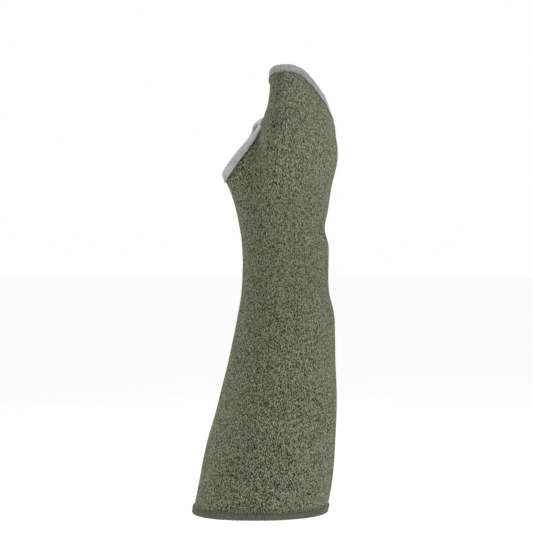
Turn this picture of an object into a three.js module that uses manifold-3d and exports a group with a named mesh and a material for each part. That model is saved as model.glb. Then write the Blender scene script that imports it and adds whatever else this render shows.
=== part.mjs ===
// A knitted cut resistant sleeve with a thumb hole, in the shape that a right arm and hand give it.
//
// Millimetres. The origin is the centre of the wrist. +Z runs up to the fingers, -Z down to the
// elbow, +X lies on the side of the back of the hand, -X on the side of the palm, where the root
// of the thumb stands out, and -Y on the side of the index finger. The knit is one tube. A
// binding wraps its edge at the finger opening, at the thumb hole and at the arm end.
import * as THREE from "three";
import { mergeVertices } from "three/addons/utils/BufferGeometryUtils.js";
import Module from "manifold-3d";

const wasm = await Module();
wasm.setup();

// Lengths along the arm, from the centre of the wrist
const HAND_LENGTH = 131; // up to the highest point of the finger opening's edge
const FOREARM_LENGTH = 172; // down to the arm end's edge

// Outer sizes across the arm, with the knit on it. turn is the angle of the broad way from +X.
const ARM_END = { breadth: 94, thickness: 87, turn: 30 };
const WRIST = { breadth: 65, thickness: 48, turn: 40 };
const KNUCKLES = { breadth: 90, thickness: 34, turn: 70 };

// How far the arm end's centre and the knuckles' lie from the wrist's
const ARM_LEAN = { x: -17.8, y: 5 };
const HAND_LEAN = { x: 9, y: -1 };

// The root of the thumb: how far it reaches from the hand's centre, its half depth and the
// direction that it faces
const THUMB_ROOT = { reach: 54, halfDepth: 17, facing: 202 };

// The thumb hole's flat cut: how long it is, where its middle lies, as shares of the hand's
// length and of the thumb root's reach and in a direction, how steeply it climbs and how far it
// turns to +Y. Its round top runs into the palm side, with a radius that is a share of the thumb
// root's half depth.
const THUMB_HOLE_LENGTH = 46;
const THUMB_HOLE = { along: 0.586, reach: 0.729, facing: 193, climb: 54, turn: 5, top: 0.85 };

// The knit, and the binding on its edges
const KNIT_WALL = 1.8;
const GAP = 0.3; // between the knit and a binding
const THREAD_COVER = 0.75; // of a binding, over each face of the knit and past its edge
const FINGER_BINDING_WIDTH = 4.4;
const THUMB_BINDING_WIDTH = 5.4;
const ARM_HEM_WIDTH = 4.4;

// How finely the forms are divided: columns round the arm, steps along the thumb hole's binding,
// sides round a binding, and rows in bands up the arm, each to a share of the hand's length
const COLUMNS = 40;
const THUMB_STEPS = 44;
const RING_SIDES = 8;
const ROW_BANDS = [
  { upTo: 0.0, rows: 8 },
  { upTo: 0.38, rows: 5 },
  { upTo: 0.76, rows: 12 },
  { upTo: 1.08, rows: 8 },
];

// How far a cutting solid runs past what it cuts
const CUT_MARGIN = 12;

// Sections from the wrist down to the arm end. along is a share of the forearm's length, grow
// goes from 0 at the wrist's sizes to 1 at the arm end's, and lean is a share of the arm's lean.
const FOREARM_SECTIONS = [
  { along: 0.12, grow: 0.04, lean: 0.0 },
  { along: 0.21, grow: 0.22, lean: -0.02 },
  { along: 0.31, grow: 0.34, lean: 0.06 },
  { along: 0.41, grow: 0.46, lean: 0.16 },
  { along: 0.5, grow: 0.6, lean: 0.25 },
  { along: 0.6, grow: 0.73, lean: 0.37 },
  { along: 0.69, grow: 0.85, lean: 0.52 },
  { along: 0.79, grow: 0.95, lean: 0.66 },
  { along: 0.88, grow: 0.99, lean: 0.78 },
  { along: 1.0, grow: 1.0, lean: 1.0 },
  { along: 1.12, grow: 0.98, lean: 1.22 },
];

// Sections from the wrist up the hand. along is a share of the hand's length. breadth, thickness
// and turn go from 0 at the wrist's to 1 at the knuckles', and lean is a share of the hand's lean.
const HAND_SECTIONS = [
  { along: 0.0, breadth: 0.0, thickness: 0.0, turn: 0.0, lean: 0.04 },
  { along: 0.09, breadth: 0.06, thickness: 0.08, turn: 0.08, lean: 0.08 },
  { along: 0.19, breadth: 0.08, thickness: 0.33, turn: 0.27, lean: 0.11 },
  { along: 0.38, breadth: 0.58, thickness: 0.7, turn: 0.6, lean: 0.56 },
  { along: 0.56, breadth: 1.08, thickness: 0.67, turn: 0.73, lean: 1.0 },
  { along: 0.75, breadth: 1.0, thickness: 0.77, turn: 0.93, lean: 1.07 },
  { along: 0.81, breadth: 0.92, thickness: 1.14, turn: 1.0, lean: 1.0 },
  { along: 1.0, breadth: 0.75, thickness: 1.29, turn: 1.07, lean: 0.95 },
];

// The root of the thumb on the way up the hand, before the hole cuts its end off. reach and
// depth are shares of its own.
const THUMB_SECTIONS = [
  { along: 0.0, reach: 0.48, depth: 0.9 },
  { along: 0.06, reach: 0.52, depth: 1.0 },
  { along: 0.13, reach: 0.57, depth: 1.1 },
  { along: 0.19, reach: 0.62, depth: 1.15 },
  { along: 0.25, reach: 0.68, depth: 1.15 },
  { along: 0.31, reach: 0.755, depth: 1.12 },
  { along: 0.38, reach: 0.855, depth: 1.08 },
  { along: 0.44, reach: 0.96, depth: 1.02 },
  { along: 0.5, reach: 1.02, depth: 0.97 },
  { along: 0.57, reach: 0.93, depth: 0.94 },
  { along: 0.65, reach: 0.77, depth: 0.9 },
  { along: 0.7, reach: 0.62, depth: 0.85 },
  { along: 0.76, reach: 0.4, depth: 0.7 },
  { along: 0.85, reach: 0.25, depth: 0.5 },
];

// The edge of the finger opening. around goes once round the hand from +X towards +Y, and
// height is a share of the hand's length.
const FINGER_EDGE = [
  { around: 0.0, height: 0.887 },
  { around: 0.06, height: 0.873 },
  { around: 0.11, height: 0.848 },
  { around: 0.15, height: 0.812 },
  { around: 0.18, height: 0.79 },
  { around: 0.22, height: 0.782 },
  { around: 0.28, height: 0.8 },
  { around: 0.36, height: 0.84 },
  { around: 0.44, height: 0.885 },
  { around: 0.52, height: 0.925 },
  { around: 0.58, height: 0.95 },
  { around: 0.64, height: 0.97 },
  { around: 0.69, height: 0.995 },
  { around: 0.72, height: 1.0 },
  { around: 0.75, height: 0.988 },
  { around: 0.8, height: 0.952 },
  { around: 0.86, height: 0.925 },
  { around: 0.93, height: 0.904 },
];

// Dents and folds. along is a share of the hand's length, facing the direction that the fold
// faces, and out how far it stands out, or in where it is below 0, as a share of the wrist's
// thickness. tall is its half height as a share of that too, and wide its half width in degrees.
const FOLDS = [
  { name: "wrist dent", along: 0.18, facing: -10, out: -0.07, tall: 0.18, wide: 40 },
  { name: "knuckle notch", along: 0.67, facing: 30, out: -0.02, tall: 0.1, wide: 30 },
];

const radians = THREE.MathUtils.degToRad;
const mix = THREE.MathUtils.lerp;

// A smooth curve through rows: the function that it gives returns every column at a place.
function curveThrough(rows, place, columns) {
  const curve = new THREE.CubicInterpolant(
    rows.map(place),
    rows.flatMap((row) => columns.map((column) => column(row))),
    columns.length,
    new Float64Array(columns.length),
  );
  return (where) => Array.from(curve.evaluate(where));
}

// The arm and hand: half breadth, half thickness, turn and centre at each height
const forearmRows = FOREARM_SECTIONS.map((row) => ({
  z: -row.along * FOREARM_LENGTH,
  breadth: mix(WRIST.breadth, ARM_END.breadth, row.grow),
  thickness: mix(WRIST.thickness, ARM_END.thickness, row.grow),
  turn: mix(WRIST.turn, ARM_END.turn, row.grow),
  x: row.lean * ARM_LEAN.x,
  y: row.lean * ARM_LEAN.y,
}));
const handRows = HAND_SECTIONS.map((row) => ({
  z: row.along * HAND_LENGTH,
  breadth: mix(WRIST.breadth, KNUCKLES.breadth, row.breadth),
  thickness: mix(WRIST.thickness, KNUCKLES.thickness, row.thickness),
  turn: mix(WRIST.turn, KNUCKLES.turn, row.turn),
  x: row.lean * HAND_LEAN.x,
  y: row.lean * HAND_LEAN.y,
}));
const armAt = curveThrough([...forearmRows.reverse(), ...handRows], (row) => row.z, [
  (row) => row.breadth / 2,
  (row) => row.thickness / 2,
  (row) => radians(row.turn),
  (row) => row.x,
  (row) => row.y,
]);
const thumbAt = curveThrough(THUMB_SECTIONS, (row) => row.along * HAND_LENGTH, [
  (row) => row.reach * THUMB_ROOT.reach,
  (row) => row.depth * THUMB_ROOT.halfDepth,
]);

// How far an ellipse about the centre reaches in a direction, and one that runs out from it
function ellipseReach(halfLong, halfShort, angle) {
  return 1 / Math.hypot(Math.cos(angle) / halfLong, Math.sin(angle) / halfShort);
}
function lobeReach(reach, halfDepth, angle) {
  const CENTRE_SHARE = 0.44;
  const middle = reach * CENTRE_SHARE;
  const half = reach - middle;
  const across = Math.cos(angle) / half;
  const down = Math.sin(angle) / halfDepth;
  const a = across * across + down * down;
  const b = (middle / half) * across;
  const c = (middle / half) ** 2 - 1;
  return (b + Math.sqrt(b * b - a * c)) / a;
}

const BLEND_POWER = 9; // how tightly the thumb's root joins the hand
const turnBetween = (a, b) => Math.atan2(Math.sin(a - b), Math.cos(a - b));

// The knit's outer face: how far it lies from the arm's centre at a height and an angle
function faceReach(z, angle) {
  const [halfBreadth, halfThickness, turn] = armAt(z);
  const [reach, halfDepth] = thumbAt(z);
  const arm = ellipseReach(halfBreadth, halfThickness, angle - turn);
  const thumb = lobeReach(reach, halfDepth, angle - radians(THUMB_ROOT.facing));
  let out = 0;
  for (const fold of FOLDS) {
    const up = (z - fold.along * HAND_LENGTH) / (fold.tall * WRIST.thickness);
    const round = turnBetween(angle, radians(fold.facing)) / radians(fold.wide);
    out += fold.out * WRIST.thickness * Math.exp(-up * up - round * round);
  }
  return (arm ** BLEND_POWER + thumb ** BLEND_POWER) ** (1 / BLEND_POWER) + out;
}

// How far a point lies outside that face, below 0 inside, and the way out from it
function outside(point) {
  const [, , , x, y] = armAt(point.z);
  const dx = point.x - x;
  const dy = point.y - y;
  return Math.hypot(dx, dy) - faceReach(point.z, Math.atan2(dy, dx));
}
function slopeAt(point) {
  const STEP = 0.2;
  const along = (axis) => {
    const ahead = point.clone();
    const behind = point.clone();
    ahead[axis] += STEP;
    behind[axis] -= STEP;
    return (outside(ahead) - outside(behind)) / (2 * STEP);
  };
  return new THREE.Vector3(along("x"), along("y"), along("z"));
}
const outwardAt = (point) => slopeAt(point).normalize();

// The place on the outer face at a height and an angle, moved out along the face's normal
function facePoint(z, angle, offset) {
  const [, , , x, y] = armAt(z);
  const reach = faceReach(z, angle);
  const point = new THREE.Vector3(x + reach * Math.cos(angle), y + reach * Math.sin(angle), z);
  return offset === 0 ? point : point.addScaledVector(outwardAt(point), offset);
}

// The angles of the columns round one section. They are spaced evenly by length and by how much
// the face turns, so that they gather where it is tight, and start away from the thumb.
const LENGTH_PER_TURN = 75; // one full turn weighs as much as this length
function spacedAngles(z) {
  const PROBES = 240;
  const start = radians(THUMB_ROOT.facing + 180);
  const angleAt = (i) => start + (2 * Math.PI * i) / PROBES;
  const points = Array.from({ length: PROBES + 2 }, (_, i) => facePoint(z, angleAt(i), 0));
  const heading = (i) => Math.atan2(points[i + 1].y - points[i].y, points[i + 1].x - points[i].x);
  const weights = [0];
  for (let i = 0; i < PROBES; i += 1) {
    const bend = Math.abs(turnBetween(heading(i + 1), heading(i)));
    const length = points[i].distanceTo(points[i + 1]);
    weights.push(weights[i] + length + (LENGTH_PER_TURN * bend) / (2 * Math.PI));
  }
  const angles = [];
  let probe = 0;
  for (let column = 0; column < COLUMNS; column += 1) {
    const wanted = (weights[PROBES] * column) / COLUMNS;
    while (weights[probe + 1] < wanted) {
      probe += 1;
    }
    const share = (wanted - weights[probe]) / (weights[probe + 1] - weights[probe]);
    angles.push(angleAt(probe + share));
  }
  return angles;
}

// Each column runs smoothly through its angles at a few sections
const KEY_SECTIONS = [-FOREARM_LENGTH, 0, 0.25 * HAND_LENGTH, 0.55 * HAND_LENGTH, 0.95 * HAND_LENGTH];
const columns = Array.from({ length: COLUMNS }, (_, column) => column);
const columnAngles = curveThrough(
  KEY_SECTIONS.map((z) => ({ z, angles: spacedAngles(z) })),
  (row) => row.z,
  columns.map((column) => (row) => row.angles[column]),
);

// A closed geometry with its shared corners merged, and one with every corner moved to where
// place puts it
function joined(geometry) {
  const TOLERANCE = 1e-5;
  geometry.deleteAttribute("normal");
  return mergeVertices(geometry.deleteAttribute("uv"), TOLERANCE);
}
function formed(geometry, place) {
  const merged = joined(geometry);
  const position = merged.getAttribute("position");
  const corner = new THREE.Vector3();
  for (let i = 0; i < position.count; i += 1) {
    corner.fromBufferAttribute(position, i);
    const moved = place(corner);
    position.setXYZ(i, moved.x, moved.y, moved.z);
  }
  return merged;
}

// A solid for cutting and joining, made from a closed geometry, and the way back
function solid(geometry) {
  const mesh = new wasm.Mesh({
    numProp: 3,
    vertProperties: new Float32Array(geometry.getAttribute("position").array),
    triVerts: new Uint32Array(geometry.getIndex().array),
  });
  return new wasm.Manifold(mesh);
}
function geometryOf(manifold) {
  const { numProp, vertProperties, triVerts } = manifold.getMesh();
  const geometry = new THREE.BufferGeometry();
  geometry.setAttribute("position", new THREE.BufferAttribute(vertProperties, numProp));
  geometry.setIndex(new THREE.BufferAttribute(triVerts, 1));
  return geometry;
}

// An upright drum of radius 1 from z = 0 to z = 1, to be formed, and the column of a corner
function drum(columns, rows) {
  const geometry = new THREE.CylinderGeometry(1, 1, 1, columns, rows);
  return geometry.rotateX(Math.PI / 2).translate(0, 0, 0.5);
}
function columnOf(corner) {
  const share = Math.atan2(corner.y, corner.x) / (2 * Math.PI);
  return THREE.MathUtils.euclideanModulo(Math.round(share * COLUMNS), COLUMNS);
}

// The heights of the rows, from below the arm end to above the finger opening
const rowHeights = [-FOREARM_LENGTH - CUT_MARGIN];
for (const band of ROW_BANDS) {
  const from = rowHeights.at(-1);
  for (let row = 1; row <= band.rows; row += 1) {
    rowHeights.push(mix(from, band.upTo * HAND_LENGTH, row / band.rows));
  }
}
const rowAngles = rowHeights.map(columnAngles);

// The full form of the sleeve's inside or outside, running past both ends
function armForm(offset) {
  const rows = rowHeights.length - 1;
  const geometry = formed(drum(COLUMNS, rows), (corner) => {
    const row = Math.round(corner.z * rows);
    const z = rowHeights[row];
    if (Math.hypot(corner.x, corner.y) < 0.5) {
      const [, , , x, y] = armAt(z);
      return new THREE.Vector3(x, y, z);
    }
    return facePoint(z, rowAngles[row][columnOf(corner)], offset);
  });
  return solid(geometry);
}

// The height of the finger opening's edge in a direction, the same from one turn to the next
const edgeRows = [-1, 0, 1].flatMap((turn) =>
  FINGER_EDGE.map((row) => ({ around: row.around + turn, height: row.height })),
);
const edgeAt = curveThrough(edgeRows, (row) => row.around, [(row) => row.height * HAND_LENGTH]);
const edgeHeight = (angle) => edgeAt(THREE.MathUtils.euclideanModulo(angle / (2 * Math.PI), 1))[0];
const [, , , fingerX, fingerY] = armAt(HAND_LENGTH);
const fingerAngle = (point) => Math.atan2(point.y - fingerY, point.x - fingerX);

// The thumb hole. up runs up its flat cut, and out points away from the hand. Its round top
// springs from a height.
function thumbHole() {
  const z = THUMB_HOLE.along * HAND_LENGTH;
  const [, , , x, y] = armAt(z);
  const reach = THUMB_HOLE.reach * THUMB_ROOT.reach;
  const facing = radians(THUMB_HOLE.facing);
  const middle = new THREE.Vector3(x + reach * Math.cos(facing), y + reach * Math.sin(facing), z);
  const climb = radians(THUMB_HOLE.climb);
  const up = new THREE.Vector3(Math.cos(climb), 0, Math.sin(climb));
  const across = new THREE.Vector3(0, 1, 0).applyAxisAngle(up, -radians(THUMB_HOLE.turn));
  const out = new THREE.Vector3().crossVectors(up, across);
  const topRadius = THUMB_HOLE.top * THUMB_ROOT.halfDepth;
  const spring = z + (THUMB_HOLE_LENGTH / 2) * up.z - topRadius;
  return { middle, up, across, out, topRadius, spring };
}
const hole = thumbHole();

// How far a point lies outside the round-topped doorway through which the thumb leaves
function outsideDoor(point) {
  const rise = point.z - hole.spring;
  const side = Math.abs(point.y - hole.middle.y);
  if (rise > 0) {
    return Math.hypot(rise, side) - hole.topRadius;
  }
  return (side - hole.topRadius + rise) * Math.SQRT1_2;
}

// Where a rising function goes through 0 between two values
function crossing(low, high, value) {
  let from = low;
  let to = high;
  for (let i = 0; i < 40; i += 1) {
    const middle = (from + to) / 2;
    if (value(middle) < 0) {
      from = middle;
    } else {
      to = middle;
    }
  }
  return (from + to) / 2;
}

// The edge of the knit at the middle of its wall, in a direction seen along the hole's way out
function thumbEdgePoint(angle) {
  const FAR = 1.2 * THUMB_HOLE_LENGTH;
  const away = hole.up
    .clone()
    .multiplyScalar(Math.cos(angle))
    .addScaledVector(hole.across, Math.sin(angle));
  const at = (radius, height) =>
    hole.middle.clone().addScaledVector(away, radius).addScaledVector(hole.out, height);
  const overKnit = (point) => outside(point) + KNIT_WALL / 2;
  const doorRadius = (height) => crossing(0, FAR, (radius) => outsideDoor(at(radius, height)));
  if (overKnit(at(doorRadius(0), 0)) > 0) {
    return at(crossing(0, doorRadius(0), (radius) => overKnit(at(radius, 0))), 0);
  }
  const height = crossing(0, FAR / 2, (value) => overKnit(at(doorRadius(value), value)));
  return at(doorRadius(height), height);
}

// The edges of the knit, at the middle of its wall, each with its points in order round what
// passes through it, counted to the left by who looks in from outside. The two ends' have a
// point on each column.
const fingerEdge = columns.map((column) => {
  const at = (z) => facePoint(z, columnAngles(z)[column], -KNIT_WALL / 2);
  const above = (z) => z - edgeHeight(fingerAngle(at(z)));
  return at(crossing(HAND_LENGTH / 2, HAND_LENGTH + CUT_MARGIN, above));
});
const armEdge = columns
  .map((column) => facePoint(-FOREARM_LENGTH, columnAngles(-FOREARM_LENGTH)[column], -KNIT_WALL / 2))
  .reverse();
const thumbPath = new THREE.CatmullRomCurve3(
  Array.from({ length: THUMB_STEPS }, (_, i) => thumbEdgePoint((2 * Math.PI * i) / THUMB_STEPS)),
  true,
);
const thumbEdge = thumbPath.getSpacedPoints(THUMB_STEPS).slice(0, THUMB_STEPS);

// The frame at each point of an edge: out of the knit's face, and past its edge
function edgeFrames(edge) {
  return edge.map((point, i) => {
    const before = edge[(i + edge.length - 1) % edge.length];
    const after = edge[(i + 1) % edge.length];
    const along = after.clone().sub(before).normalize();
    const past = new THREE.Vector3().crossVectors(outwardAt(point), along).normalize();
    return { point, past, out: new THREE.Vector3().crossVectors(along, past) };
  });
}
const openings = {
  finger: { frames: edgeFrames(fingerEdge), away: new THREE.Vector3(0, 0, 1) },
  thumb: { frames: edgeFrames(thumbEdge), away: hole.out },
  arm: { frames: edgeFrames(armEdge), away: new THREE.Vector3(0, 0, -1) },
};

// Which frame of an edge a corner of a drum or a ring belongs to
function frameOf(frames, corner) {
  const turn = Math.atan2(corner.y, corner.x) / (2 * Math.PI);
  return frames[THREE.MathUtils.euclideanModulo(Math.round(turn * frames.length), frames.length)];
}

// What is cut away past an edge, square to the knit, with the edge moved out by a clearance
function openingCut({ frames, away }, clearance) {
  const INSIDE = 4;
  const OUTSIDE = 16;
  const middle = new THREE.Vector3();
  frames.forEach(({ point }) => middle.addScaledVector(point, 1 / frames.length));
  const geometry = formed(drum(frames.length, 2), (corner) => {
    const isMiddle = Math.hypot(corner.x, corner.y) < 0.5;
    const far = corner.z > 0.75 ? 4 * CUT_MARGIN : 0;
    if (isMiddle) {
      return middle.clone().addScaledVector(away, far);
    }
    const { point, past, out } = frameOf(frames, corner);
    return point
      .clone()
      .addScaledVector(past, clearance)
      .addScaledVector(out, corner.z < 0.25 ? -INSIDE : OUTSIDE)
      .addScaledVector(away, far);
  });
  return solid(geometry);
}

// A ring of thread that wraps an edge of the knit, before the knit's room is cut from it
function edgeRing({ frames }, width) {
  const ROUNDNESS = 0.2; // of the section: 1 for an ellipse, towards 0 for a rectangle
  const RADIUS = 2;
  const beyond = GAP + THREAD_COVER;
  const halfThickness = KNIT_WALL / 2 + beyond;
  const squared = (value) => Math.sign(value) * Math.abs(value) ** ROUNDNESS;
  const torus = new THREE.TorusGeometry(RADIUS, 1, RING_SIDES, frames.length);
  const geometry = formed(torus, (corner) => {
    const { point, past, out } = frameOf(frames, corner);
    const outwards = Math.hypot(corner.x, corner.y) - RADIUS;
    return point
      .clone()
      .addScaledVector(out, squared(outwards) * halfThickness)
      .addScaledVector(past, (squared(corner.z) * width) / 2 + beyond - width / 2);
  });
  return solid(geometry);
}

// The knit, or the room that it takes with a clearance all round
function knit(clearance) {
  return Object.values(openings).reduce(
    (tube, opening) => tube.subtract(openingCut(opening, clearance)),
    armForm(clearance).subtract(armForm(-KNIT_WALL - clearance)),
  );
}

// The knit and the thread, and the sleeve
const KNIT_LOOK = { color: "#686b5b", roughness: 0.95 };
const THREAD_LOOK = { color: "#c8c8cd", roughness: 0.8 };
const room = knit(GAP);

function piece(name, shape, look) {
  const material = new THREE.MeshStandardMaterial({ ...look, metalness: 0 });
  const mesh = new THREE.Mesh(geometryOf(shape), material);
  mesh.name = name;
  return mesh;
}
const bound = (opening, width) => edgeRing(opening, width).subtract(room);

const sleeve = new THREE.Group();
sleeve.add(
  piece("sleeve_body", knit(0), KNIT_LOOK),
  piece("finger_binding", bound(openings.finger, FINGER_BINDING_WIDTH), THREAD_LOOK),
  piece("thumb_binding", bound(openings.thumb, THUMB_BINDING_WIDTH), THREAD_LOOK),
  piece("arm_hem", bound(openings.arm, ARM_HEM_WIDTH), KNIT_LOOK),
);

export default sleeve;
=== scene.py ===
"""The looks of a knitted cut resistant sleeve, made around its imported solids.

Metres. The origin is the centre of the wrist, +Z runs up to the fingers, -Z down to the elbow, +X
lies on the side of the back of the hand and -Y on the side of the index finger.
"""

import math

import bmesh
import bpy
import numpy as np
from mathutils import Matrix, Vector


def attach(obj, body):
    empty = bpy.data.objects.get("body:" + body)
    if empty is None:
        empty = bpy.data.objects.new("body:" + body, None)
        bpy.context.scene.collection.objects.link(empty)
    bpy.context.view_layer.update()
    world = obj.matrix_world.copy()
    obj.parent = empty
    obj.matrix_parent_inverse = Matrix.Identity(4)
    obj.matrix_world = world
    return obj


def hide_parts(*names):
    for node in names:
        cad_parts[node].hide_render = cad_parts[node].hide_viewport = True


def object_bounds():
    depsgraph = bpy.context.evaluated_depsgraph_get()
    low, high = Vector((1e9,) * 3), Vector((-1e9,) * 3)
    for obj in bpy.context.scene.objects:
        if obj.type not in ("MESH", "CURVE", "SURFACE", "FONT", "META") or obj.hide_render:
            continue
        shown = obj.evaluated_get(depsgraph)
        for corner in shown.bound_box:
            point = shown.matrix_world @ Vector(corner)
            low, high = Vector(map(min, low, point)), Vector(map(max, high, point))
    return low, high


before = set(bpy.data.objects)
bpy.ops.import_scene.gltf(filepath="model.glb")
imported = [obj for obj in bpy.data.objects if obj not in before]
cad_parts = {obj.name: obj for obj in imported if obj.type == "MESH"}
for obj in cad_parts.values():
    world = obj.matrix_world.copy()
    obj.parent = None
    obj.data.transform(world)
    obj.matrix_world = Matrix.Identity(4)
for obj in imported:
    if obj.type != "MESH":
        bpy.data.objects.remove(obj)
SOLIDS_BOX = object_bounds()

bl_info = {
    "name": "Knitted sleeve",
    "version": (1, 0, 0),
    "blender": (4, 5, 0),
    "location": "View3D > Sidebar > Sleeve",
    "description": "Builds a knitted sleeve with a thumb hole and its bound edges",
    "category": "Object",
}

BODY = "root"
MM = 0.001

# Lengths along the arm from the centre of the wrist, and outer sizes across it
HAND_LENGTH = 131 * MM
FOREARM_LENGTH = 172 * MM
ARM_END = {"breadth": 94 * MM, "thickness": 87 * MM, "turn": 30}
WRIST = {"breadth": 65 * MM, "thickness": 48 * MM, "turn": 40}
KNUCKLES = {"breadth": 90 * MM, "thickness": 34 * MM, "turn": 70}
ARM_LEAN = (-17.8 * MM, 5 * MM)
HAND_LEAN = (9 * MM, -1 * MM)
THUMB_ROOT = {"reach": 54 * MM, "half_depth": 17 * MM, "facing": 202}
THUMB_HOLE_LENGTH = 46 * MM
THUMB_HOLE = {"along": 0.586, "reach": 0.729, "facing": 193, "climb": 54, "turn": 5, "top": 0.85}
KNIT_WALL = 1.8 * MM
GAP = 0.3 * MM
BLEND_POWER = 9

# The thumb's root in a section: an ellipse whose middle lies at this share of its reach
THUMB_MIDDLE = 0.44

# Sections of the forearm: share of its length, growth from the wrist to the arm end, lean
FOREARM_SECTIONS = (
    (0.12, 0.04, 0.0),
    (0.21, 0.22, -0.02),
    (0.31, 0.34, 0.06),
    (0.41, 0.46, 0.16),
    (0.5, 0.6, 0.25),
    (0.6, 0.73, 0.37),
    (0.69, 0.85, 0.52),
    (0.79, 0.95, 0.66),
    (0.88, 0.99, 0.78),
    (1.0, 1.0, 1.0),
    (1.12, 0.98, 1.22),
)

# Sections of the hand: share of its length, breadth, thickness, turn and lean
HAND_SECTIONS = (
    (0.0, 0.0, 0.0, 0.0, 0.04),
    (0.09, 0.06, 0.08, 0.08, 0.08),
    (0.19, 0.08, 0.33, 0.27, 0.11),
    (0.38, 0.58, 0.7, 0.6, 0.56),
    (0.56, 1.08, 0.67, 0.73, 1.0),
    (0.75, 1.0, 0.77, 0.93, 1.07),
    (0.81, 0.92, 1.14, 1.0, 1.0),
    (1.0, 0.75, 1.29, 1.07, 0.95),
)

# The root of the thumb on the way up the hand: share of the hand's length, reach and depth
THUMB_SECTIONS = (
    (0.0, 0.48, 0.9),
    (0.06, 0.52, 1.0),
    (0.13, 0.57, 1.1),
    (0.19, 0.62, 1.15),
    (0.25, 0.68, 1.15),
    (0.31, 0.755, 1.12),
    (0.38, 0.855, 1.08),
    (0.44, 0.96, 1.02),
    (0.5, 1.02, 0.97),
    (0.57, 0.93, 0.94),
    (0.65, 0.77, 0.9),
    (0.7, 0.62, 0.85),
    (0.76, 0.4, 0.7),
    (0.85, 0.25, 0.5),
)

# The edge of the finger opening: share of a turn round the hand, share of the hand's length
FINGER_EDGE = (
    (0.0, 0.887),
    (0.06, 0.873),
    (0.11, 0.834),
    (0.15, 0.79),
    (0.18, 0.77),
    (0.22, 0.766),
    (0.28, 0.79),
    (0.36, 0.84),
    (0.44, 0.885),
    (0.52, 0.925),
    (0.58, 0.95),
    (0.64, 0.97),
    (0.69, 0.995),
    (0.72, 1.0),
    (0.75, 0.988),
    (0.8, 0.952),
    (0.86, 0.925),
    (0.93, 0.904),
)

# Dents and folds: height, facing, how far out, half height and half width in degrees
FOLDS = (
    (0.18 * HAND_LENGTH, -10, -0.07 * WRIST["thickness"], 0.18 * WRIST["thickness"], 40),
    (0.67 * HAND_LENGTH, 30, -0.02 * WRIST["thickness"], 0.1 * WRIST["thickness"], 30),
)


def curve_through(places, rows):
    """A smooth curve through rows of numbers, as a function that takes an array of places."""
    at = np.asarray(places, float)
    rows = np.asarray(rows, float)

    def evaluate(where):
        where = np.clip(np.asarray(where, float), at[0], at[-1])
        i1 = np.clip(np.searchsorted(at, where, side="right"), 1, len(at) - 1)
        i0 = i1 - 1
        before = np.where(i0 == 0, i1, i0 - 1)
        after = np.where(i1 == len(at) - 1, i0, i1 + 1)
        after = np.minimum(after, len(at) - 1)
        t0, t1, tp, tn = at[i0], at[i1], at[before], at[after]
        half = (t1 - t0) / 2
        wp = half / (t0 - tp)
        wn = half / (tn - t1)
        p = (where - t0) / (t1 - t0)
        pp, ppp = p * p, p * p * p
        weights = (
            -wp * ppp + 2 * wp * pp - wp * p,
            (1 + wp) * ppp + (-1.5 - 2 * wp) * pp + (-0.5 + wp) * p + 1,
            (-1 - wn) * ppp + (1.5 + wn) * pp + 0.5 * p,
            wn * ppp - wn * pp,
        )
        corners = (rows[before], rows[i0], rows[i1], rows[after])
        return sum(w[..., None] * c for w, c in zip(weights, corners))

    return evaluate


def mix(a, b, share):
    return a + (b - a) * share


def arm_rows():
    """Height, half breadth, half thickness, turn and centre of each section of the arm."""
    rows = []
    for along, grow, lean in reversed(FOREARM_SECTIONS):
        sizes = [mix(WRIST[key], ARM_END[key], grow) for key in ("breadth", "thickness", "turn")]
        rows.append((-along * FOREARM_LENGTH, *sizes, lean * ARM_LEAN[0], lean * ARM_LEAN[1]))
    for along, broad, thick, turn, lean in HAND_SECTIONS:
        shares = (("breadth", broad), ("thickness", thick), ("turn", turn))
        sizes = [mix(WRIST[key], KNUCKLES[key], share) for key, share in shares]
        rows.append((along * HAND_LENGTH, *sizes, lean * HAND_LEAN[0], lean * HAND_LEAN[1]))
    return np.array(rows)


ROWS = arm_rows()
arm_at = curve_through(
    ROWS[:, 0],
    np.column_stack([ROWS[:, 1] / 2, ROWS[:, 2] / 2, np.radians(ROWS[:, 3]), ROWS[:, 4:]]),
)
thumb_at = curve_through(
    [row[0] * HAND_LENGTH for row in THUMB_SECTIONS],
    [(row[1] * THUMB_ROOT["reach"], row[2] * THUMB_ROOT["half_depth"]) for row in THUMB_SECTIONS],
)
EDGE_ROWS = [(around + turn, height) for turn in (-1, 0, 1) for around, height in FINGER_EDGE]
edge_at = curve_through(
    [row[0] for row in EDGE_ROWS], [(row[1] * HAND_LENGTH,) for row in EDGE_ROWS]
)


def turn_between(a, b):
    return np.arctan2(np.sin(a - b), np.cos(a - b))


def face_reach(z, angle):
    """How far the knit's outer face lies from the arm's centre."""
    half_broad, half_thick, turn, _, _ = np.moveaxis(arm_at(z), -1, 0)
    reach, half_depth = np.moveaxis(thumb_at(z), -1, 0)
    arm = 1 / np.hypot(np.cos(angle - turn) / half_broad, np.sin(angle - turn) / half_thick)
    facing = angle - math.radians(THUMB_ROOT["facing"])
    middle, half = reach * THUMB_MIDDLE, reach * (1 - THUMB_MIDDLE)
    across = np.cos(facing) / half
    a = across**2 + (np.sin(facing) / half_depth) ** 2
    b = middle / half * across
    thumb = (b + np.sqrt(b * b - a * ((middle / half) ** 2 - 1))) / a
    out = 0
    for height, faces, depth, tall, wide in FOLDS:
        up = (z - height) / tall
        side = turn_between(angle, math.radians(faces)) / math.radians(wide)
        out = out + depth * np.exp(-up * up - side * side)
    return (arm**BLEND_POWER + thumb**BLEND_POWER) ** (1 / BLEND_POWER) + out


def outside(points):
    """How far points lie outside the outer face."""
    centre = arm_at(points[..., 2])[..., 3:]
    dx, dy = points[..., 0] - centre[..., 0], points[..., 1] - centre[..., 1]
    return np.hypot(dx, dy) - face_reach(points[..., 2], np.arctan2(dy, dx))


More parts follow.
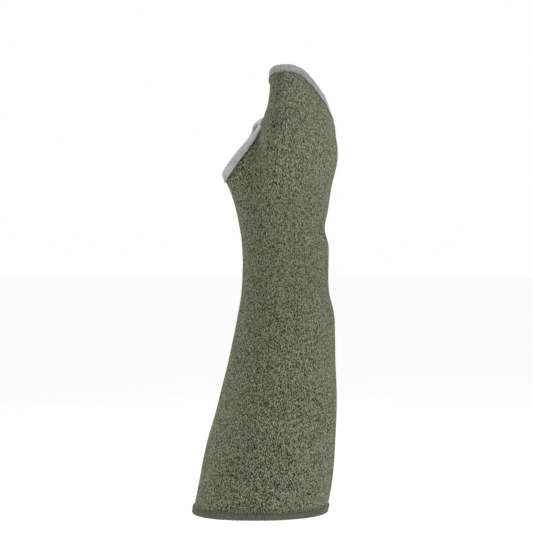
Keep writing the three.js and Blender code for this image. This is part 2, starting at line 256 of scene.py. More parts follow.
def outward_at(points):
    """The outer face's normal at points."""
    step = 0.2 * MM
    slope = [outside(points + step * axis) - outside(points - step * axis) for axis in np.eye(3)]
    slope = np.stack(slope, -1)
    return slope / np.linalg.norm(slope, axis=-1, keepdims=True)


def face_point(z, angle, offset=0.0):
    """The place on the outer face at a height and an angle, moved out along the normal."""
    z, angle = np.broadcast_arrays(np.asarray(z, float), np.asarray(angle, float))
    centre = arm_at(z)[..., 3:]
    reach = face_reach(z, angle)
    points = np.stack(
        [centre[..., 0] + reach * np.cos(angle), centre[..., 1] + reach * np.sin(angle), z], -1
    )
    return points + offset * outward_at(points) if offset else points


FINGER_CENTRE = arm_at(np.array(HAND_LENGTH))[3:]


def edge_height(points):
    """The height of the finger opening's edge in the direction of points."""
    angle = np.arctan2(points[..., 1] - FINGER_CENTRE[1], points[..., 0] - FINGER_CENTRE[0])
    return edge_at(np.mod(angle / (2 * np.pi), 1))[..., 0]


# How many columns and rows the knit's mesh has, and the wales and courses of the knit
COLUMNS = 176
ROWS_UP = 168
WALES = 230
COURSES = 390
PLIES = 5
# How much closer the columns stand where the section turns, and points that trace a whole section
TURN_PULL = 30 * MM
PROBES = 480
# Share of the way up from which the courses begin to follow the finger opening's edge
LEVEL_SHARE = 0.55
# Points that trace a closed edge, and how far from it a corner of the mesh is drawn to it
EDGE_POINTS = 720
EDGE_PULL = 6 * MM
SEAM_ANGLE = math.radians(THUMB_ROOT["facing"] + 180)


def spaced_angles(z, count):
    """Angles of columns spaced evenly round one section, and more closely where it turns."""
    angles = SEAM_ANGLE + 2 * np.pi * np.arange(PROBES + 2) / PROBES
    points = face_point(z, angles)
    steps = np.diff(points, axis=0)
    heading = np.unwrap(np.arctan2(steps[:, 1], steps[:, 0]))
    bend = np.abs(np.diff(heading))
    length = np.linalg.norm(steps, axis=1)[:PROBES]
    weights = np.concatenate([[0], np.cumsum(length + TURN_PULL * bend / (2 * np.pi))])
    wanted = weights[-1] * np.arange(count + 1) / count
    return np.interp(wanted, weights, angles[: PROBES + 1])


def column_angles():
    """Each column's angle as a smooth function of height."""
    keys = np.array([-FOREARM_LENGTH, 0, *(share * HAND_LENGTH for share in (0.25, 0.55, 0.95))])
    return curve_through(keys, [spaced_angles(z, COLUMNS) for z in keys])


angles_at = column_angles()


def columns_at(z, share):
    """The angle of a column, given as a share of the way round, at a height."""
    table = angles_at(z)
    place = share * COLUMNS
    low = np.clip(np.floor(place).astype(int), 0, COLUMNS - 1)
    rest = place - low
    pick = np.take_along_axis
    first = pick(table, low[..., None], -1)[..., 0]
    second = pick(table, low[..., None] + 1, -1)[..., 0]
    return mix(first, second, rest)


def crossing(low, high, value, steps=40):
    """Where rising functions go through 0 between two values."""
    low, high = np.array(low, float), np.array(high, float)
    for _ in range(steps):
        middle = (low + high) / 2
        below = value(middle) < 0
        low, high = np.where(below, middle, low), np.where(below, high, middle)
    return (low + high) / 2


def top_heights(share):
    """The height of the finger opening's edge on each column."""

    def above(z):
        return z - edge_height(face_point(z, columns_at(z, share), -KNIT_WALL / 2))

    low = np.full(share.shape, HAND_LENGTH / 2)
    return crossing(low, low + 0.6 * HAND_LENGTH, above)


def thumb_hole():
    """The thumb hole's flat cut: its middle, the way up it, across it and out of it."""
    z = THUMB_HOLE["along"] * HAND_LENGTH
    centre = arm_at(np.array(z))[3:]
    reach = THUMB_HOLE["reach"] * THUMB_ROOT["reach"]
    facing = math.radians(THUMB_HOLE["facing"])
    away = reach * np.array([math.cos(facing), math.sin(facing)])
    middle = np.array([*(centre + away), z])
    climb = math.radians(THUMB_HOLE["climb"])
    up = np.array([math.cos(climb), 0, math.sin(climb)])
    turn = -math.radians(THUMB_HOLE["turn"])
    across = np.array([0.0, 1.0, 0.0])
    across = across * math.cos(turn) + np.cross(up, across) * math.sin(turn)
    out = np.cross(up, across)
    radius = THUMB_HOLE["top"] * THUMB_ROOT["half_depth"]
    spring = z + THUMB_HOLE_LENGTH / 2 * up[2] - radius
    return middle, up, across, out, radius, spring


HOLE_MIDDLE, HOLE_UP, HOLE_ACROSS, HOLE_OUT, HOLE_RADIUS, HOLE_SPRING = thumb_hole()
# Rounds of smoothing for the hole's edge, and for the ways past each edge
EDGE_ROUNDING = 260
FRAME_ROUNDING = 14
# How far the top of the hole is drawn round the hand, down and out, and how far from it that reaches
WEB_TURN = math.radians(9)
WEB_DROP = 1.5 * MM
WEB_FLARE = 1.2 * MM
WEB_REACH = 17 * MM


def drawn_round(points):
    """Points near the top of the thumb hole, drawn round the hand to the index finger's side."""
    top = HOLE_MIDDLE + HOLE_UP * THUMB_HOLE_LENGTH / 2
    near = np.exp(-np.sum((points - top) ** 2, -1) / WEB_REACH**2)
    side = points[..., :2] - arm_at(points[..., 2])[..., 3:]
    angle = np.arctan2(side[..., 1], side[..., 0])
    depth = np.hypot(side[..., 0], side[..., 1]) - face_reach(points[..., 2], angle)
    turned = angle + WEB_TURN * near
    height = points[..., 2] - WEB_DROP * near
    reach = face_reach(height, turned) + depth + WEB_FLARE * near
    away = reach[..., None] * np.stack([np.cos(turned), np.sin(turned)], -1)
    moved = arm_at(height)[..., 3:] + away
    return np.concatenate([moved, height[..., None]], -1)


def outside_door(points):
    """How far points lie outside the round-topped doorway through which the thumb leaves."""
    rise = points[..., 2] - HOLE_SPRING
    side = np.abs(points[..., 1] - HOLE_MIDDLE[1])
    above = np.hypot(rise, side) - HOLE_RADIUS
    return np.where(rise > 0, above, (side - HOLE_RADIUS + rise) * math.sqrt(0.5))


def thumb_edge():
    """Points of the thumb hole's edge at the middle of the knit's wall, in order."""
    angle = 2 * np.pi * np.arange(360) / 360
    away = np.cos(angle)[:, None] * HOLE_UP + np.sin(angle)[:, None] * HOLE_ACROSS
    far = np.full(angle.shape, 1.2 * THUMB_HOLE_LENGTH)
    zero = np.zeros(angle.shape)

    def at(radius, height):
        return HOLE_MIDDLE + away * radius[:, None] + HOLE_OUT * height[:, None]

    def over_knit(points):
        return outside(points) + KNIT_WALL / 2

    def door_radius(height):
        return crossing(zero, far, lambda radius: outside_door(at(radius, height)))

    flat_radius = door_radius(zero)
    flat = over_knit(at(flat_radius, zero)) > 0
    on_flat = at(crossing(zero, flat_radius, lambda radius: over_knit(at(radius, zero))), zero)
    height = crossing(zero, far / 2, lambda value: over_knit(at(door_radius(value), value)), 30)
    on_door = at(door_radius(height), height)
    traced = np.where(flat[:, None], on_flat, on_door)
    return smoothed(evenly(traced, EDGE_POINTS), EDGE_ROUNDING)


def evenly(points, count):
    """A closed line's points, spaced evenly along it."""
    closed = np.vstack([points, points[:1]])
    length = np.concatenate([[0], np.cumsum(np.linalg.norm(np.diff(closed, axis=0), axis=1))])
    wanted = length[-1] * np.arange(count) / count
    return np.stack([np.interp(wanted, length, closed[:, axis]) for axis in range(3)], -1)


def smoothed(points, rounds):
    """A closed line with its points drawn towards their neighbours."""
    for _ in range(rounds):
        points = (np.roll(points, 1, 0) + 2 * points + np.roll(points, -1, 0)) / 4
    return points


def finger_edge():
    """The finger opening's edge at the middle of the knit's wall."""
    share = np.arange(EDGE_POINTS) / EDGE_POINTS
    top = top_heights(share)
    return evenly(face_point(top, columns_at(top, share), -KNIT_WALL / 2), EDGE_POINTS)


def arm_edge():
    """The arm end's edge at the middle of the knit's wall."""
    share = np.arange(EDGE_POINTS) / EDGE_POINTS
    low = np.full(share.shape, -FOREARM_LENGTH)
    line = face_point(low, columns_at(low, share), -KNIT_WALL / 2)[::-1]
    return evenly(line, EDGE_POINTS)


def edge_frames(points):
    """The ways out of the knit's face and past its edge, at points of the edge."""
    along = np.roll(points, -1, 0) - np.roll(points, 1, 0)
    along /= np.linalg.norm(along, axis=1, keepdims=True)
    past = np.cross(outward_at(points), along)
    past = smoothed(past / np.linalg.norm(past, axis=1, keepdims=True), FRAME_ROUNDING)
    past -= along * np.sum(past * along, axis=1, keepdims=True)
    past /= np.linalg.norm(past, axis=1, keepdims=True)
    return np.cross(along, past), past


class Graph:
    """Builds a material's nodes from plain values."""

    def __init__(self, name):
        self.material = bpy.data.materials.new(name)
        self.material.use_nodes = True
        self.nodes = self.material.node_tree.nodes
        self.links = self.material.node_tree.links
        self.nodes.clear()

    def node(self, kind, **settings):
        made = self.nodes.new(kind)
        for key, value in settings.items():
            setattr(made, key, value)
        return made

    def feed(self, socket, value):
        if isinstance(value, bpy.types.NodeSocket):
            self.links.new(value, socket)
        else:
            socket.default_value = value

    def math(self, operation, *values, clamp=False):
        made = self.node("ShaderNodeMath", operation=operation, use_clamp=clamp)
        for socket, value in zip(made.inputs, values):
            self.feed(socket, value)
        return made.outputs[0]

    def join(self, x, y, z=0.0):
        made = self.node("ShaderNodeCombineXYZ")
        for socket, value in zip(made.inputs, (x, y, z)):
            self.feed(socket, value)
        return made.outputs[0]

    def ramp(self, value, stops):
        made = self.node("ShaderNodeValToRGB")
        while len(made.color_ramp.elements) < len(stops):
            made.color_ramp.elements.new(0.5)
        for element, (position, colour) in zip(made.color_ramp.elements, stops):
            element.position = position
            element.color = (*colour, 1)
        self.feed(made.inputs[0], value)
        return made.outputs[0]

    def blend(self, share, a, b):
        made = self.node("ShaderNodeMix", data_type="RGBA")
        self.feed(made.inputs[0], share)
        self.feed(made.inputs[6], a)
        self.feed(made.inputs[7], b)
        return made.outputs[2]

    def noise(self, vector, scale, detail, roughness):
        made = self.node("ShaderNodeTexNoise")
        self.feed(made.inputs["Vector"], vector)
        made.inputs["Scale"].default_value = scale
        made.inputs["Detail"].default_value = detail
        made.inputs["Roughness"].default_value = roughness
        return made.outputs["Fac"]

    def speckle(self, vector):
        made = self.node("ShaderNodeTexWhiteNoise", noise_dimensions="3D")
        self.feed(made.inputs["Vector"], vector)
        return made.outputs["Value"]

    def surface(self, colour, height, distance, roughness, sheen, sheen_tint, strength=1.0):
        """The finished material: a soft cloth shader with the height as bump."""
        shader = self.node("ShaderNodeBsdfPrincipled")
        self.feed(shader.inputs["Base Color"], colour)
        shader.inputs["Roughness"].default_value = roughness
        shader.inputs["Specular IOR Level"].default_value = 0.25
        shader.inputs["Sheen Weight"].default_value = sheen
        shader.inputs["Sheen Roughness"].default_value = 0.45
        shader.inputs["Sheen Tint"].default_value = (*sheen_tint, 1)
        bump = self.node("ShaderNodeBump")
        bump.inputs["Strength"].default_value = strength
        bump.inputs["Distance"].default_value = distance
        self.feed(bump.inputs["Height"], height)
        self.links.new(bump.outputs[0], shader.inputs["Normal"])
        output = self.node("ShaderNodeOutputMaterial")
        self.links.new(shader.outputs[0], output.inputs["Surface"])
        return self.material


def linear(r, g, b):
    """A colour given in 0 to 255 as a screen shows it, as light."""
    values = [channel / 255 for channel in (r, g, b)]
    return tuple(v / 12.92 if v <= 0.04045 else ((v + 0.055) / 1.055) ** 2.4 for v in values)


def knit_material(name, colours, inner=False):
    """Stockinette of a heathered yarn: columns of V-shaped stitches outside, ridges inside, with
    painted shade in the grooves between the strands.
    """
    g = Graph(name)
    uv = g.node("ShaderNodeUVMap", uv_map="knit").outputs[0]
    apart = g.node("ShaderNodeSeparateXYZ")
    g.feed(apart.inputs[0], uv)
    across = g.math("MULTIPLY", apart.outputs[0], float(WALES))
    up = g.math("MULTIPLY", apart.outputs[1], float(COURSES))
    x = g.math("SUBTRACT", g.math("FRACT", across), 0.5)
    side = g.math("ABSOLUTE", x)
    slant = g.math("MULTIPLY_ADD", side, 1.5, up)
    course = g.math("FLOOR", slant)
    y = g.math("FRACT", slant)
    # The strands: round across each leg, and round from one course to the next
    offset = g.math("MULTIPLY_ADD", side, 4.0, -1.0)
    round_leg = g.math("SUBTRACT", 1.0, g.math("MULTIPLY", offset, offset))
    y_off = g.math("MULTIPLY_ADD", y, 2.0, -1.0)
    round_up = g.math("SUBTRACT", 1.0, g.math("MULTIPLY", y_off, y_off))
    strand = g.math("MULTIPLY", g.math("SQRT", round_leg), g.math("SQRT", round_up))
    if inner:
        strand = g.math("MULTIPLY_ADD", round_up, 0.8, g.math("MULTIPLY", round_leg, 0.2))
    # The heather of the yarn: ply by ply in each course, in runs, fibres and wide soft patches
    ply = g.math("FLOOR", g.math("MULTIPLY", across, float(PLIES)))
    fleck = g.speckle(g.join(ply, course))
    along_yarn = g.join(g.math("MULTIPLY", across, 2.3), g.math("MULTIPLY", up, 1.2))
    runs = g.noise(along_yarn, 1.0, 1.0, 0.6)
    place = g.node("ShaderNodeTexCoord").outputs["Object"]
    fibre = g.noise(place, 2600.0, 2.0, 0.65)
    patch = g.noise(place, 80.0, 3.0, 0.6)
    tone = g.math("MULTIPLY_ADD", fleck, 1.15, g.math("MULTIPLY_ADD", runs, 0.3, -0.2))
    tone = g.math("MULTIPLY_ADD", g.math("SUBTRACT", fibre, 0.5), 0.6, tone)
    tone = g.math("MULTIPLY_ADD", g.math("SUBTRACT", patch, 0.5), 0.12, tone)
    heather = g.ramp(tone, colours)
    # Painted shade: in the grooves between the legs and between the courses, where the strands round
    # away, the colour is drawn halfway towards a dark olive; on the strands' tops it stays the
    # heather
    depth = g.math("MULTIPLY_ADD", strand, 0.5, 0.5, clamp=True)
    shaded = g.blend(depth, linear(34, 36, 28) + (1,), heather)
    height = g.math("MULTIPLY_ADD", fibre, 0.25, strand)
    return g.surface(shaded, height, 0.35 * MM, 0.92, 0.12, linear(150, 155, 130))


def thread_material(name, pale):
    """Overlocking thread: fine crimped filaments, mottled where the threads bunch."""
    g = Graph(name)
    place = g.node("ShaderNodeTexCoord").outputs["Object"]
    patch = g.noise(place, 160.0, 2.0, 0.5)
    mottle = g.noise(place, 620.0, 2.0, 0.6)
    fibre = g.noise(place, 3200.0, 2.0, 0.6)
    tone = g.math("MULTIPLY_ADD", patch, 0.3, g.math("MULTIPLY", mottle, 0.6))
    tone = g.math("MULTIPLY_ADD", fibre, 0.3, tone)
    shade = tuple(channel * 0.5 for channel in pale)
    light = tuple(min(1.0, channel * 1.12) for channel in pale)
    colour = g.ramp(tone, ((0.42, shade), (0.56, pale), (0.72, light)))
    return g.surface(colour, fibre, 0.12 * MM, 0.8, 0.15, (0.8, 0.8, 0.8))


def plain_material(name, colour, roughness):
    g = Graph(name)
    place = g.node("ShaderNodeTexCoord").outputs["Object"]
    soft = g.noise(place, 3.0, 2.0, 0.5)
    tone = g.ramp(soft, ((0.3, colour), (0.7, tuple(c * 0.99 for c in colour))))
    return g.surface(tone, soft, 0.1 * MM, roughness, 0.0, (1, 1, 1), strength=0.05)


def finished(name, bm, materials, node):
    """Makes a piece from a mesh, standing for a solid of the frame."""
    mesh = bpy.data.meshes.new(name)
    bm.to_mesh(mesh)
    bm.free()
    mesh.shade_smooth()
    for each in materials:
        mesh.materials.append(each)
    piece = bpy.data.objects.new(name, mesh)
    bpy.context.scene.collection.objects.link(piece)
    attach(piece, BODY)
    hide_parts(node)
    return piece


def cylinder_grid(columns, rows):
    """A flat grid whose corners hold the share round and the share up, with its UV map."""
    bm = bmesh.new()
    bm.loops.layers.uv.new("knit")
    bmesh.ops.create_grid(bm, x_segments=columns, y_segments=rows, size=0.5, calc_uvs=False)
    uv = bm.loops.layers.uv["knit"]
    for face in bm.faces:
        for loop in face.loops:
            loop[uv].uv = (loop.vert.co.x + 0.5, loop.vert.co.y + 0.5)
    return bm


def knit_body():
    """The knit's outer face as one tube, open at the ends and at the thumb hole."""
    bm = cylinder_grid(COLUMNS, ROWS_UP)
    bm.verts.ensure_lookup_table()
    flat = np.array([vert.co[:] for vert in bm.verts])
    share, up = flat[:, 0] + 0.5, flat[:, 1] + 0.5
    top = top_heights(share)
    level = float(np.mean(top))
    # The courses stay level in the forearm, and follow the finger opening's edge at the top
    straight = -FOREARM_LENGTH + up * (level + FOREARM_LENGTH)
    rise = np.clip((up - LEVEL_SHARE) / (1 - LEVEL_SHARE), 0, 1)
    z = straight + (top - level) * rise * rise * (3 - 2 * rise)
    points = face_point(z, columns_at(z, share))
    for vert, point in zip(bm.verts, points):
        vert.co = point
    # The hole: what lies past the flat cut and within the doorway comes out
    edge = thumb_edge()
    past_cut = (points - HOLE_MIDDLE) @ HOLE_OUT > 0
    inside = past_cut & (outside_door(points) < 0)
    gone = [vert for vert, out in zip(bm.verts, inside) if out]
    bmesh.ops.delete(bm, geom=gone, context="VERTS")
    bmesh.ops.remove_doubles(bm, verts=bm.verts, dist=0.01 * MM)
    # The corners along the hole go to its edge
    rim_line = edge + 0.5 * KNIT_WALL * outward_at(edge)
    for vert in bm.verts:
        if vert.is_boundary:
            gaps = np.linalg.norm(rim_line - np.array(vert.co), axis=1)
            nearest = int(np.argmin(gaps))
            if gaps[nearest] < EDGE_PULL:
                vert.co = rim_line[nearest]
    for vert, point in zip(bm.verts, drawn_round(np.array([vert.co[:] for vert in bm.verts]))):
        vert.co = point
    bmesh.ops.recalc_face_normals(bm, faces=bm.faces)
    return bm


# The bound edges: how far apart the threads stand, how thick they are, how high the band lies over
# the knit, how far each thread leans along the edge, and how close the lining lies to the knit
THREAD_SPACING = 1.25 * MM
THREAD_RADIUS = 0.42 * MM
BAND_COVER = 0.75 * MM
THREAD_LEAN = 0.5
LINING_GAP = 0.35 * GAP
BAND_STEPS = 12
# The middle of a thread's path out of the knit's middle and past its edge
BAND_HALF = KNIT_WALL / 2 + GAP + BAND_COVER - THREAD_RADIUS
BAND_BEYOND = GAP + BAND_COVER - THREAD_RADIUS


def wrap_line(width, half, beyond):
    """The line of a thread over the edge as a function: up outside, round the edge, down inside."""
    reach = width - beyond
    bend = np.linspace(0, np.pi, 9)
    out = np.concatenate([[half], half * np.cos(bend), [-half]])
    past = np.concatenate([[-reach], beyond * np.sin(bend), [-reach]])
    length = np.concatenate([[0], np.cumsum(np.hypot(np.diff(out), np.diff(past)))])

    def at(share):
        where = share * length[-1]
        return np.interp(where, length, out), np.interp(where, length, past)

    return at


class Edge:
    """A closed edge of the knit, measured in threads along it, out of the knit and past it."""

    def __init__(self, line, broad, seed):
        length = float(np.sum(np.linalg.norm(np.roll(line, -1, 0) - line, axis=1)))
        self.count = int(round(length / THREAD_SPACING))
        self.points = smoothed(evenly(line, self.count), 2)
        self.out, self.past = edge_frames(self.points)
        rng = np.random.default_rng(seed)
        wave = smoothed(rng.uniform(-1, 1, (self.count, 1)), 3)[:, 0]
        self.broad = broad(self.points) * (1 + 0.16 * wave)
        self.sway = rng.uniform(-0.16, 0.16, self.count)
        self.reach = rng.uniform(0.93, 1.05, self.count)
        self.swell = rng.uniform(0.8, 1.12, self.count)

    def between(self, rows, place):
        low = np.floor(place).astype(int)
        rest = place - low
        first, second = rows[low % self.count], rows[(low + 1) % self.count]
        return mix(first, second, rest[:, None] if rows.ndim > 1 else rest)

    def at(self, place, out, past):
        """The point at a place along the edge, with what lies on the knit drawn to its breadth."""
        past = np.where(past < 0, past * self.between(self.broad, place), past)
        point = self.between(self.points, place) + out[:, None] * self.between(self.out, place)
        return point + past[:, None] * self.between(self.past, place)


def add_part(whole, part, place):
    """Puts a part's corners where a function of their flat places says, and adds it to a mesh."""
    flat = np.array([vert.co[:] for vert in part.verts])
    for vert, point in zip(part.verts, place(flat)):
        vert.co = point
    bmesh.ops.remove_doubles(part, verts=part.verts, dist=0.001 * MM)
    bmesh.ops.recalc_face_normals(part, faces=part.faces)
    mesh = bpy.data.meshes.new("part")
    part.to_mesh(mesh)
    part.free()
    whole.from_mesh(mesh)
    bpy.data.meshes.remove(mesh)


# Radius of a flat thread, in steps from one thread to the next
ROD_RADIUS = 0.4


def row_of_threads(count, cuts):
    """Straight threads side by side, one for each step along X, each a rod from 0 to 1 along Z."""
    bm = bmesh.new()
    rod = ROD_RADIUS
    bmesh.ops.create_cone(bm, cap_ends=True, segments=4, radius1=rod, radius2=rod, depth=1)
    bmesh.ops.translate(bm, verts=bm.verts, vec=(0, 0, 0.5))
    long = [edge for edge in bm.edges if abs(edge.verts[0].co.z - edge.verts[1].co.z) > 0.5]
    bmesh.ops.subdivide_edges(bm, edges=long, cuts=cuts)
    everything = bm.verts[:] + bm.edges[:] + bm.faces[:]
    step = {"axis": (1, 0, 0), "dvec": (1, 0, 0), "angle": 0}
    bmesh.ops.spin(bm, geom=everything, steps=count - 1, use_duplicate=True, **step)
    return bm


def band_under(edge, width, half, beyond):
    """The padded band beneath the threads: a strip bent over the knit's edge, closed in itself."""
    outside_line = wrap_line(width, half, beyond)
    inside_line = wrap_line(width, KNIT_WALL / 2 + LINING_GAP, LINING_GAP)
    share = np.arange(BAND_STEPS) / (BAND_STEPS - 1)
    outer, inner = outside_line(share), inside_line(share[::-1])
    out = np.concatenate([outer[0], inner[0], outer[0][:1]])
    past = np.concatenate([outer[1], inner[1], outer[1][:1]])
    bm = bmesh.new()
    bmesh.ops.create_grid(bm, x_segments=edge.count, y_segments=2 * BAND_STEPS, size=0.5)

    def place(flat):
        corner = np.round((flat[:, 1] + 0.5) * 2 * BAND_STEPS).astype(int)
        return edge.at((flat[:, 0] + 0.5) * edge.count, out[corner], past[corner])

    return bm, place


def threads_over(edge, width):
    """Thread after thread wrapped over the edge, each leaning a little along it."""
    line = wrap_line(width, BAND_HALF, BAND_BEYOND)

    def place(flat):
        number = np.round(flat[:, 0]).astype(int)
        share = flat[:, 2]
        swell = THREAD_RADIUS / ROD_RADIUS * edge.swell[number]
        out, past = line(share)
        after, before = line(np.minimum(share + 0.02, 1)), line(np.maximum(share - 0.02, 0))
        ahead = np.array([after[0] - before[0], after[1] - before[1]])
        ahead /= np.linalg.norm(ahead, axis=0)
        past = np.where(past < 0, past * edge.reach[number], past)
        lift = flat[:, 1] * swell
        lean = THREAD_LEAN * (2 * share - 1) + edge.sway[number]
        along = number + lean + (flat[:, 0] - number) * swell / THREAD_SPACING
        return edge.at(along, out + lift * ahead[1], past - lift * ahead[0])

    return row_of_threads(edge.count, 11), place


def chain_along(edge, width, face):
    """The chain that ties the threads along the band's edge, a link to each thread."""
    thick = 2 * THREAD_RADIUS
    bow = 3.2 * thick
    middle = face * (BAND_HALF + 0.15 * thick)

    def place(flat):
        number = np.round(flat[:, 0]).astype(int)
        share = flat[:, 2]
        past = BAND_BEYOND - width - bow * share * (1 - share) + (flat[:, 0] - number) * thick
        return edge.at(number + 1.1 * share, middle + flat[:, 1] * thick, past)

    return row_of_threads(edge.count, 3), place


def bound_edge(line, width, seed, broad=lambda points: 1.0):
    """An overlocked edge: a padded band, the threads over it and a chain along each side."""
    edge = Edge(line, broad, seed)
    inset = 0.2 * THREAD_RADIUS
    bm = bmesh.new()
    add_part(bm, *band_under(edge, width - 3 * inset, BAND_HALF - inset, BAND_BEYOND - inset / 2))
    add_part(bm, *threads_over(edge, width))
    for face in (1, -1):
        add_part(bm, *chain_along(edge, width, face))
    return bm


# The thumb binding's breadth up the hole, as shares of its width: its even breadth, the swell, where
# the swell lies and how far it reaches, and how much is lost towards the top
THUMB_BAND = {"even": 0.98, "swell": 0.22, "at": -0.12, "reach": 0.24, "lost": 0.32}


def thumb_breadth(points):
    """How much broader the thumb binding is than its width: least at the top of the hole."""
    up = (points - HOLE_MIDDLE) @ HOLE_UP / THUMB_HOLE_LENGTH
    swell = np.exp(-(((up - THUMB_BAND["at"]) / THUMB_BAND["reach"]) ** 2))
    lost = THUMB_BAND["lost"] * np.clip(up, 0, 1)
    return THUMB_BAND["even"] + THUMB_BAND["swell"] * swell - lost


class SleeveSettings(bpy.types.PropertyGroup):
    """Sizes and colours of the sleeve."""

    finger_binding_width: bpy.props.FloatProperty(
        name="Finger binding width",
        description="How far the binding of the finger opening reaches over the knit",
        default=4.4 * MM,
        unit="LENGTH",
    )
    thumb_binding_width: bpy.props.FloatProperty(
        name="Thumb binding width",
        description="How far the binding of the thumb hole reaches over the knit",
        default=5.4 * MM,
        unit="LENGTH",
    )
    hem_width: bpy.props.FloatProperty(
        name="Arm hem width",
        description="How far the hem of the arm end reaches over the knit",
        default=4.4 * MM,
        unit="LENGTH",
    )
    # Painted shade: the finger opening and the thumb hole are bound with one and the same thread,
    # and this colour is given darker for the finger binding to stand in for the shade that falls on
    # it
    finger_thread_shaded_colour: bpy.props.FloatVectorProperty(
        name="Finger thread colour",
        description="Colour of the thread round the finger opening",
        subtype="COLOR",
        default=linear(156, 157, 157),
        min=0,
        max=1,
    )
    # Painted light: the thumb binding's copy of the same thread, given lighter than the finger
    # binding's to stand in for the light that falls on it
    thumb_thread_lit_colour: bpy.props.FloatVectorProperty(
        name="Thumb thread colour",
        description="Colour of the thread round the thumb hole",
        subtype="COLOR",
        default=linear(184, 184, 182),
        min=0,
        max=1,
    )
    hem_thread_colour: bpy.props.FloatVectorProperty(
        name="Hem thread colour",
        description="Colour of the thread round the arm end",
        subtype="COLOR",
        default=linear(98, 101, 82),
        min=0,
        max=1,
    )


def settings():
    return bpy.context.scene.knitted_sleeve


HEATHER = (
    (0.2, linear(19, 21, 23)),
    (0.42, linear(48, 50, 44)),
    (0.6, linear(95, 98, 80)),
    (0.8, linear(175, 178, 145)),
)


class SLEEVE_OT_knit(bpy.types.Operator):
    """Build the knitted tube of the sleeve"""

    bl_idname = "sleeve.knit"
    bl_label = "Knit"

    def execute(self, context):
        face = knit_material("heathered_knit_face", HEATHER)
        back = knit_material("heathered_knit_back", HEATHER, inner=True)
        piece = finished("knitted_sleeve", knit_body(), (face, back), "sleeve_body")
        wall = piece.modifiers.new("wall", "SOLIDIFY")
        wall.thickness = KNIT_WALL
        wall.offset = -1
        wall.use_even_offset = True
        wall.material_offset = 1
        return {"FINISHED"}


class SLEEVE_OT_bindings(bpy.types.Operator):
    """Build the overlocked bindings of the finger opening and the thumb hole"""

    bl_idname = "sleeve.bindings"
    bl_label = "Bindings"

    def execute(self, context):
        chosen = settings()
        # Painted shade on the finger binding and painted light on the thumb binding: two copies of
        # one thread material in two tones
        thread = thread_material("finger_thread_painted_shade", tuple(chosen.finger_thread_shaded_colour))
        bm = bound_edge(finger_edge(), chosen.finger_binding_width, seed=11)
        finished("finger_opening_overlock", bm, (thread,), "finger_binding")
        thread = thread_material("thumb_thread_painted_light", tuple(chosen.thumb_thread_lit_colour))
        line = drawn_round(thumb_edge())
        bm = bound_edge(line, chosen.thumb_binding_width, seed=12, broad=thumb_breadth)
        finished("thumb_hole_overlock", bm, (thread,), "thumb_binding")
        return {"FINISHED"}


class SLEEVE_OT_hem(bpy.types.Operator):
    """Build the overlocked hem of the arm end"""

    bl_idname = "sleeve.hem"
    bl_label = "Arm hem"

    def execute(self, context):
        thread = thread_material("hem_thread", tuple(settings().hem_thread_colour))
        bm = bound_edge(arm_edge(), settings().hem_width, seed=13)
        finished("arm_end_overlock", bm, (thread,), "arm_hem")
        return {"FINISHED"}


# The view: the point that it looks at, how wide it is there, and the camera's lens and sensor
VIEW_CENTRE = Vector((-13.4 * MM, 0, -3.1 * MM))
VIEW_WIDTH = 533 * 0.6885 * MM
LENS = 120
SENSOR = 36
FLOOR_RADIUS = 40
FLOOR_DROP = 60 * MM

# The lamps: name, where each stands from the point looked at, its size and its power
LAMPS = (
    ("key", (1.45, -0.25, -0.2), 0.8, 15),
    ("front", (-0.65, -0.75, -0.65), 0.8, 14),
    ("rim", (-0.9, 0.7, 0.6), 0.6, 5),
)


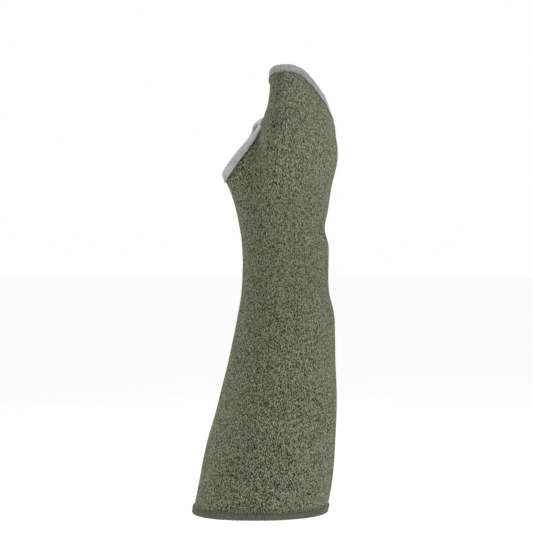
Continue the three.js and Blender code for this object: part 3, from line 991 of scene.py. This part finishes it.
class SLEEVE_OT_stage(bpy.types.Operator):
    """Set the floor, the lights and the camera"""

    bl_idname = "sleeve.stage"
    bl_label = "Stage"

    def execute(self, context):
        self.floor()
        for name, offset, size, power in LAMPS:
            self.lamp(name, offset, size, power)
        world = bpy.data.worlds.new("studio_light")
        world.use_nodes = True
        background = world.node_tree.nodes["Background"]
        background.inputs[0].default_value = (1, 1, 1, 1)
        background.inputs[1].default_value = 1.0
        context.scene.world = world
        self.camera()
        context.scene.view_settings.view_transform = "Standard"
        return {"FINISHED"}

    def floor(self):
        bm = bmesh.new()
        bmesh.ops.create_circle(bm, cap_ends=True, segments=64, radius=FLOOR_RADIUS)
        bmesh.ops.translate(bm, verts=bm.verts, vec=(0, 0, SOLIDS_BOX[0].z - FLOOR_DROP))
        mesh = bpy.data.meshes.new("studio_floor")
        bm.to_mesh(mesh)
        bm.free()
        mesh.shade_smooth()
        mesh.materials.append(plain_material("pale_floor", (0.97, 0.97, 0.97), 0.9))
        floor = bpy.data.objects.new("studio_floor", mesh)
        bpy.context.scene.collection.objects.link(floor)

    def lamp(self, name, offset, size, power):
        light = bpy.data.lights.new(name, "AREA")
        light.shape = "DISK"
        light.size = size
        light.energy = power
        placed = bpy.data.objects.new(name, light)
        placed.location = VIEW_CENTRE + Vector(offset)
        aim = VIEW_CENTRE - placed.location
        placed.rotation_euler = aim.to_track_quat("-Z", "Y").to_euler()
        bpy.context.scene.collection.objects.link(placed)

    def camera(self):
        camera = bpy.data.cameras.new("camera")
        camera.lens = LENS
        camera.sensor_width = SENSOR
        placed = bpy.data.objects.new("camera", camera)
        placed.location = VIEW_CENTRE + Vector((0, -VIEW_WIDTH * LENS / SENSOR, 0))
        placed.rotation_euler = (math.pi / 2, 0, 0)
        bpy.context.scene.collection.objects.link(placed)
        bpy.context.scene.camera = placed


class SLEEVE_OT_cloth(bpy.types.Operator):
    """A step that does nothing: no flat size of the knitted sheet is stated."""

    bl_idname = "sleeve.cloth"
    bl_label = "Cloth"

    def execute(self, context):
        return {"FINISHED"}


class SLEEVE_PT_panel(bpy.types.Panel):
    """The sleeve's settings and builders"""

    bl_label = "Knitted sleeve"
    bl_space_type = "VIEW_3D"
    bl_region_type = "UI"
    bl_category = "Sleeve"

    def draw(self, context):
        values = settings()
        for name in SleeveSettings.__annotations__:
            self.layout.prop(values, name)
        for operator in STEPS:
            self.layout.operator(operator.bl_idname)


STEPS = (
    SLEEVE_OT_stage,
    SLEEVE_OT_knit,
    SLEEVE_OT_bindings,
    SLEEVE_OT_hem,
    SLEEVE_OT_cloth,
)
CLASSES = (SleeveSettings, *STEPS, SLEEVE_PT_panel)


def register():
    for each in CLASSES:
        bpy.utils.register_class(each)
    bpy.types.Scene.knitted_sleeve = bpy.props.PointerProperty(type=SleeveSettings)


def unregister():
    del bpy.types.Scene.knitted_sleeve
    for each in reversed(CLASSES):
        bpy.utils.unregister_class(each)


def main():
    register()
    for each in STEPS:
        group, name = each.bl_idname.split(".")
        getattr(getattr(bpy.ops, group), name)()


if __name__ == "__main__":
    main()
